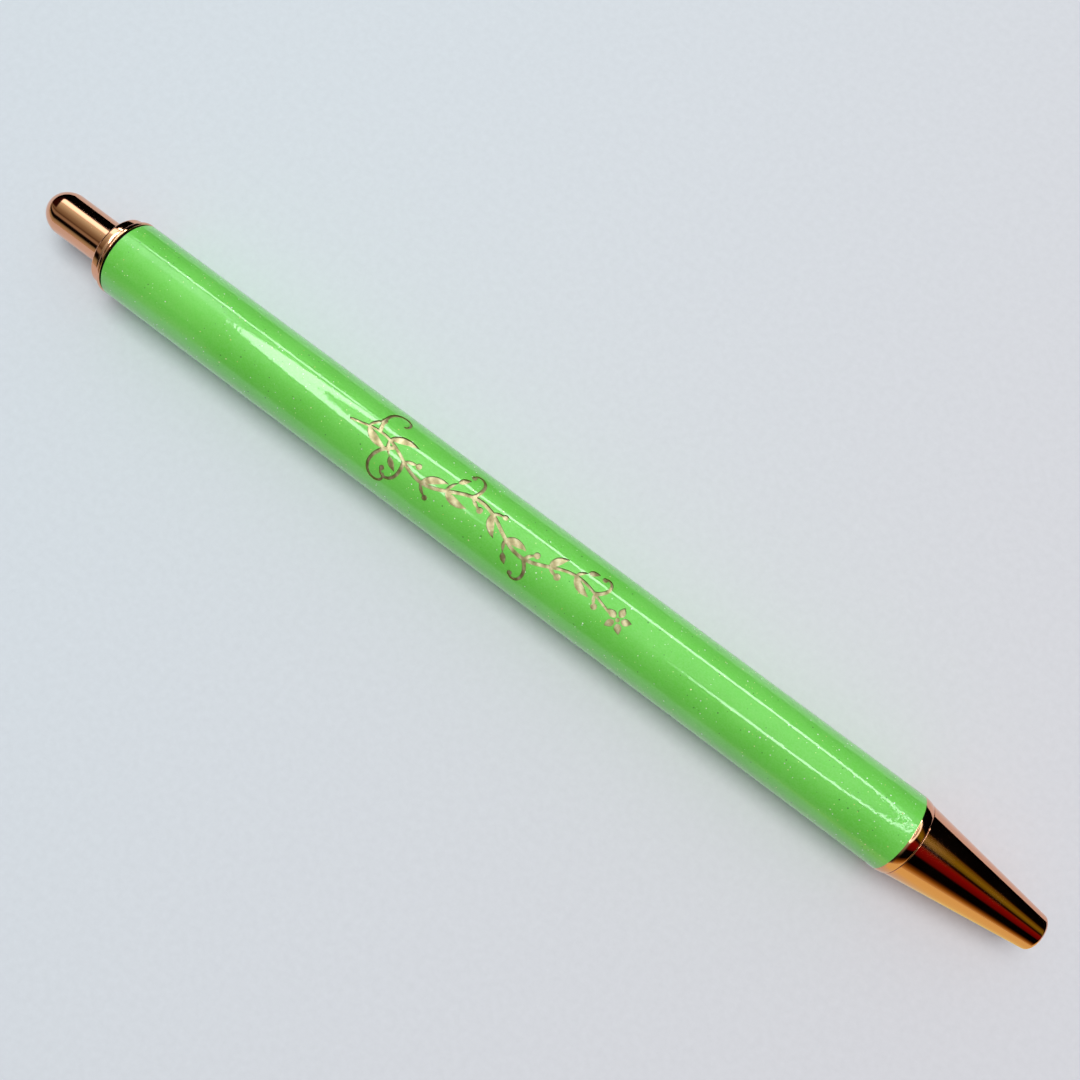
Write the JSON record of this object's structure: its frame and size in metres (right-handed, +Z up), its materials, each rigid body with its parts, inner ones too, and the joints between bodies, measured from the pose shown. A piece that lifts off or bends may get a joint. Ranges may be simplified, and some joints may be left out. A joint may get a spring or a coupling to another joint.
{
  "type": "retractable gel pen",
  "caption": "Slim push-button gel pen: rose gold plated button, stepped collar and tapered nose on a round green glitter-lacquered barrel, with a refill that clicks out.",
  "frame": {"origin": "middle of the pen's length, under its axis, on the surface that the barrel lies on", "axes": "+X along the pen towards the writing end, +Z up from the surface, +Y across the pen"},
  "size_m": [0.1438, 0.01, 0.01],
  "materials": {
    "rose_gold_plate": "mirror-bright rose gold plating over turned brass",
    "glitter_lacquer": "clear gloss lacquer with lime green pigment and fine glitter",
    "barrel_brass": "drawn brass tube, ground",
    "acetal": "moulded white acetal",
    "clear_polypropylene": "extruded clear polypropylene",
    "gel_ink": "black gel ink",
    "grease": "clear yellowish grease",
    "spring_steel": "drawn and coiled spring wire",
    "nickel_silver": "turned nickel silver",
    "tungsten_carbide": "ground tungsten carbide",
    "nitrile_rubber": "moulded nitrile rubber"
  },
  "bodies": {
    "barrel": {"barrel_tube": "barrel_brass", "glitter_coat": "glitter_lacquer", "rear_collar": "rose_gold_plate", "cam_housing": "acetal", "front_ring": "rose_gold_plate", "threaded_bush": "barrel_brass", "return_spring": "spring_steel"},
    "button": {"push_button": "rose_gold_plate", "plunger": "acetal"},
    "refill": {"refill_plug": "acetal", "refill_tube": "clear_polypropylene", "ink_follower": "grease", "follower_float": "acetal", "gel_ink": "gel_ink", "tip_holder": "acetal", "writing_tip": "nickel_silver", "tip_ball": "tungsten_carbide"},
    "cam": {"rotating_cam": "acetal"},
    "seal": {"o_ring": "nitrile_rubber"},
    "nose": {"nose_cone": "rose_gold_plate"}
  },
  "joints": [
    {"name": "press", "type": "slide", "parent": "barrel", "child": "button", "axis": [1, 0, 0], "range_m": [0, 0.0062], "stiffness_N_per_m": 250, "springref_m": -0.004, "deforming": ["return_spring"]},
    {"name": "refill_feed", "type": "slide", "parent": "barrel", "child": "refill", "axis": [1, 0, 0], "range_m": [0, 0.00584], "deforming": ["return_spring"]},
    {"name": "cam_turn", "type": "hinge", "parent": "refill", "child": "cam", "pos_m": [-0.045, 0, 0.005], "axis": [1, 0, 0], "range_deg": [0, 11.25]},
    {"name": "nose_feed", "type": "slide", "parent": "barrel", "child": "seal", "axis": [1, 0, 0], "range_m": [0, 0.0049]},
    {"name": "nose_turn", "type": "hinge", "parent": "seal", "child": "nose", "pos_m": [0.06, 0, 0.005], "axis": [1, 0, 0], "range_deg": [0, 2520]}
  ],
  "couplings": [
    {"joint": "refill_feed", "follows": "press", "ratio": 0.94207},
    {"joint": "cam_turn", "follows": "press", "rad_per_m": 31.669},
    {"joint": "nose_turn", "follows": "nose_feed", "rad_per_m": 8975.9}
  ]
}
